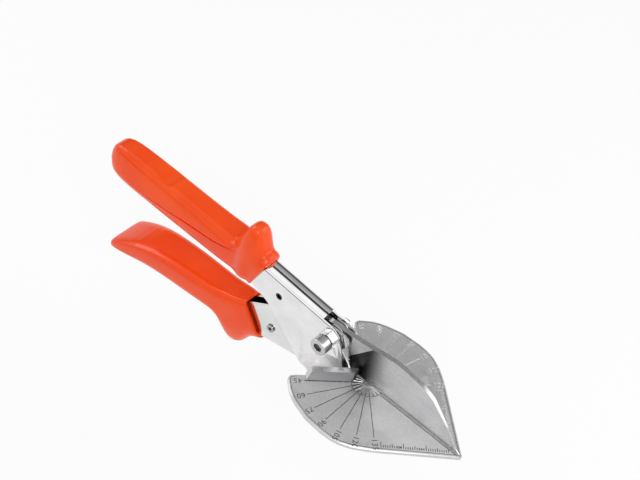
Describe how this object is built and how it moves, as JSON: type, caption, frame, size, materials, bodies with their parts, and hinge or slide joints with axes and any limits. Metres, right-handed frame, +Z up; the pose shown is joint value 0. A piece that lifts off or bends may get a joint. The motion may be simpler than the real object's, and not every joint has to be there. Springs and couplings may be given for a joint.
{
  "type": "mitre shears",
  "caption": "Hand mitre shears: a flat blade closes on a pointed plate with degree lines and a turning fence, worked by two sleeved channel handles.",
  "frame": {"origin": "centre of the flat lower end of the angle fence's stem, on the line that the fence turns about, 9.4 mm below the plate's top face", "axes": "+X along the blade to the tip, +Y to the far wing, +Z up from the plate towards the blade's spine"},
  "size_m": [0.2192, 0.0708, 0.0812],
  "materials": {
    "orange_grip": "glossy moulded sleeve",
    "chromed_sheet": "polished chrome plate",
    "satin_plate": "satin",
    "ground_blade": "surface ground",
    "bright_fastener": "bright nickel"
  },
  "bodies": {
    "frame": {"frame_channel": "chromed_sheet", "upper_grip": "orange_grip", "base_plate": "satin_plate", "foot_rivet_near": "satin_plate", "foot_rivet_far": "satin_plate", "pivot_screw": "bright_fastener", "pivot_collar": "bright_fastener", "pivot_nut": "bright_fastener", "spring_pin": "bright_fastener", "return_spring": "ground_blade"},
    "lever": {"lever_channel": "chromed_sheet", "lower_grip": "orange_grip", "blade": "ground_blade", "blade_pin": "bright_fastener", "blade_spacer_near": "bright_fastener", "blade_spacer_far": "bright_fastener", "lever_rivet": "chromed_sheet"},
    "fence": {"angle_fence": "satin_plate", "fence_spring_washer": "bright_fastener", "fence_nut": "bright_fastener"}
  },
  "joints": [
    {"name": "blade_pivot", "type": "hinge", "parent": "frame", "child": "lever", "pos_m": [-0.0213, 0, 0.0272], "axis": [0, -1, 0], "range_deg": [0, 28], "deforming": ["return_spring"]},
    {"name": "fence_turn", "type": "hinge", "parent": "frame", "child": "fence", "pos_m": [0, 0, 0.0094], "axis": [0, 0, 1], "range_deg": [0, 90]}
  ]
}
